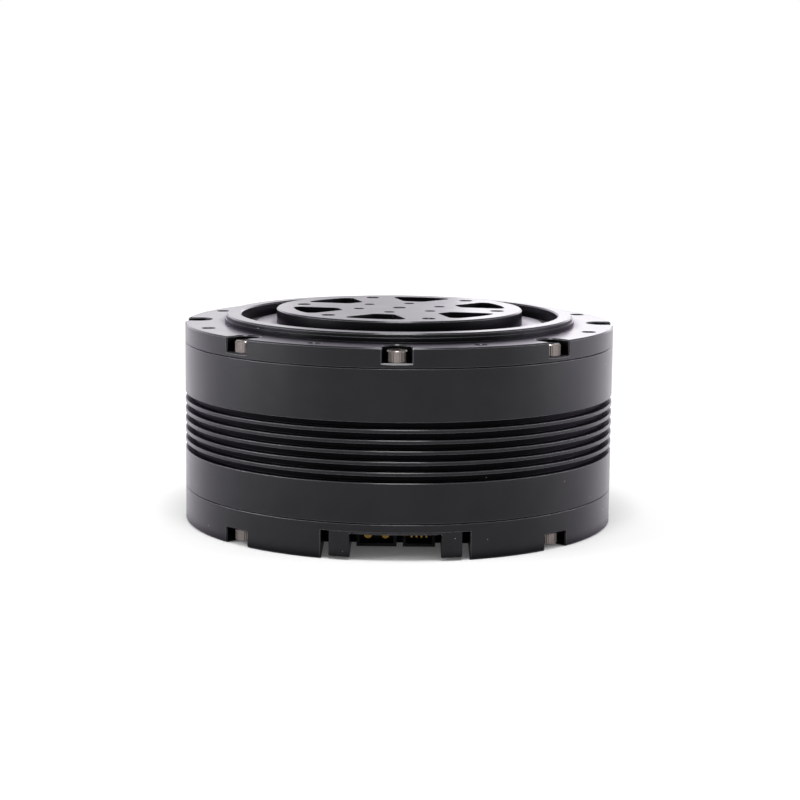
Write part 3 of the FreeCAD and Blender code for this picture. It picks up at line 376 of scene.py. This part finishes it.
# ---- Output flange ----
# One aluminium turning: a pocketed disc on a wider base, bead-blasted and anodised like the
# casing but a shade finer, since the robot's link is bolted against it.
flange_finish = black_anodised("fine_blasted_black_anodised_aluminium", (0.35, 0.43))
dress(flange_finish, "output_flange")


# ---- Threads of the tapped holes ----
# The mounting holes of the front cover and the holes of the flange are cut with a tap. Each thread is
# one helical ridge down the wall of its hole, below the countersink.
def tapped_threads(name, body, finish, circle, start, count, bore, pitch, top, depth):
    """The ridges of a ring of equal holes, as one piece; angles in degrees, lengths in millimetres."""
    steps_per_turn = 24
    plain_end = 1
    sections = steps_per_turn * int((depth - plain_end) / pitch) + 1
    ridge_half, ridge_height = 0.4 * pitch, 0.2 * pitch
    profile = ((0, -ridge_half), (ridge_height, 0), (0, ridge_half))
    corners = []
    faces = []
    for hole in range(count):
        angle = radians(start + 360 * hole / count)
        for i in range(sections):
            turn = 2 * pi * i / steps_per_turn
            middle = top - depth + pitch * (0.5 + i / steps_per_turn)
            first = len(corners)
            for inward, rise in profile:
                x = circle * cos(angle) + (bore - inward) * cos(turn)
                y = circle * sin(angle) + (bore - inward) * sin(turn)
                corners.append((x / 1000, y / 1000, (middle + rise) / 1000))
            if i:
                faces += [(first - 3 + j, first - 3 + (j + 1) % 3, first + (j + 1) % 3, first + j)
                          for j in range(3)]
    ridge = bpy.data.meshes.new(name)
    ridge.from_pydata(corners, [], faces)
    ridge.materials.append(finish)
    piece = bpy.data.objects.new(name, ridge)
    bpy.context.scene.collection.objects.link(piece)
    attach(piece, body)


tapped_threads("mounting_hole_threads", "root", casing_finish,
               circle=54.0, start=22.5, count=8, bore=1.65, pitch=0.7, top=53.55, depth=10.0)
tapped_threads("flange_rim_threads", "output", flange_finish,
               circle=27.0, start=46.8, count=6, bore=1.65, pitch=0.7, top=57.24, depth=8.0)
tapped_threads("flange_hub_threads", "output", flange_finish,
               circle=11.4, start=16.8, count=6, bore=1.25, pitch=0.5, top=57.24, depth=6.0)


# ---- Output seal ----
# A ring moulded in nitrile rubber, matt and slightly blotched by its bloom. It closes the gap
# between the flange and the collar.
rubber, tree, shader = new_finish("moulded_nitrile_rubber", {"IOR": 1.52})
bloom = noise(tree, 4, 4)
wire(tree, shader, {"Base Color": blend(tree, bloom, "#121213", "#1B1B1C"),
                    "Roughness": spread(tree, bloom, 0.55, 0.7)})
dress(rubber, "output_seal")


# ---- Floor and backdrop ----
# A plain white studio sweep. It shows as white to the camera and in reflections out to the horizon,
# and still takes the soft shadow that the object stands in.
floor_half = 3.0
floor_gap = 0.00005
floor_mesh = bpy.data.meshes.new("floor")
floor_mesh.from_pydata([(-floor_half, -floor_half, 0), (floor_half, -floor_half, 0),
                        (floor_half, floor_half, 0), (-floor_half, floor_half, 0)], [], [(0, 1, 2, 3)])
floor = bpy.data.objects.new("floor", floor_mesh)
floor.location.z = cad_box[0].z - floor_gap
bpy.context.scene.collection.objects.link(floor)


def seen_directly(tree):
    """1 for a ray from the camera, from a mirror or through glass, and 0 for the light on surfaces."""
    path = add(tree, "LightPath", {}).outputs
    sharp = calc(tree, "MAXIMUM", path["Is Camera Ray"], path["Is Glossy Ray"])
    return calc(tree, "MAXIMUM", sharp, path["Is Transmission Ray"])


paper, tree, shader = new_finish("white_paper_sweep", {"Base Color": linear("#F0F0F0"), "Roughness": 0.9,
                                                       "Emission Color": linear("#FFFFFF")})
away = add(tree, "VectorMath", {0: own_place(tree)}, operation="LENGTH").outputs["Value"]
lift = spread(tree, away, 0.06, 0.7, low_at=0.1, high_at=1.2)
wire(tree, shader, {"Emission Strength": calc(tree, "MULTIPLY", seen_directly(tree), lift)})
floor_mesh.materials.append(paper)

world = bpy.data.worlds.new("studio")
bpy.context.scene.world = world
world.use_nodes = True
tree = world.node_tree
ambient = 0.5
backdrop = tree.nodes["Background"]
backdrop.inputs["Color"].default_value = linear("#FFFFFF")
wire(tree, backdrop, {"Strength": spread(tree, seen_directly(tree), ambient, 1)})


# ---- Lights ----
# Softboxes left and right that graze the casing, a small one overhead that lights the edges, and
# two behind that sheen the top faces, all plain white.
centre = (cad_box[0] + cad_box[1]) / 2


def softbox(name, place, size, watts):
    """A rectangular lamp at a place, turned towards the middle of the object."""
    lamp = bpy.data.lights.new(name, "AREA")
    lamp.shape = "RECTANGLE"
    lamp.size, lamp.size_y = size
    lamp.energy = watts
    made = bpy.data.objects.new(name, lamp)
    made.location = place
    made.rotation_euler = (centre - Vector(place)).to_track_quat("-Z", "Y").to_euler()
    bpy.context.scene.collection.objects.link(made)


softbox("softbox_left", (-0.68, -0.16, 0.22), (0.5, 0.4), 4)
softbox("softbox_right", (0.7, 0.0, 0.22), (0.5, 0.4), 3)
softbox("softbox_top", (0, -0.2, 0.8), (0.22, 0.22), 3)
softbox("softbox_back_left", (-0.46, 1.2, 0.45), (0.8, 0.5), 1.4)
softbox("softbox_back_right", (0.32, 1.2, 0.42), (0.6, 0.5), 2)


# ---- Camera ----
# A long lens a little over half a metre away, looking slightly down on the recess side.
lens_mm = 92.75
sensor_mm = 36.0
camera_place = Vector((0.00463, -0.55796, 0.11745))
pitch_down = radians(8.727)
heading = radians(-0.435)
roll = radians(0.5436)
camera_data = bpy.data.cameras.new("camera")
camera_data.lens = lens_mm
camera_data.sensor_width = sensor_mm
camera = bpy.data.objects.new("camera", camera_data)
aim = Matrix.Rotation(-heading, 4, "Z") @ Matrix.Rotation(pi / 2 - pitch_down, 4, "X")
camera.matrix_world = Matrix.Translation(camera_place) @ aim @ Matrix.Rotation(roll, 4, "Z")
bpy.context.scene.collection.objects.link(camera)
bpy.context.scene.camera = camera
bpy.context.scene.view_settings.view_transform = "Standard"
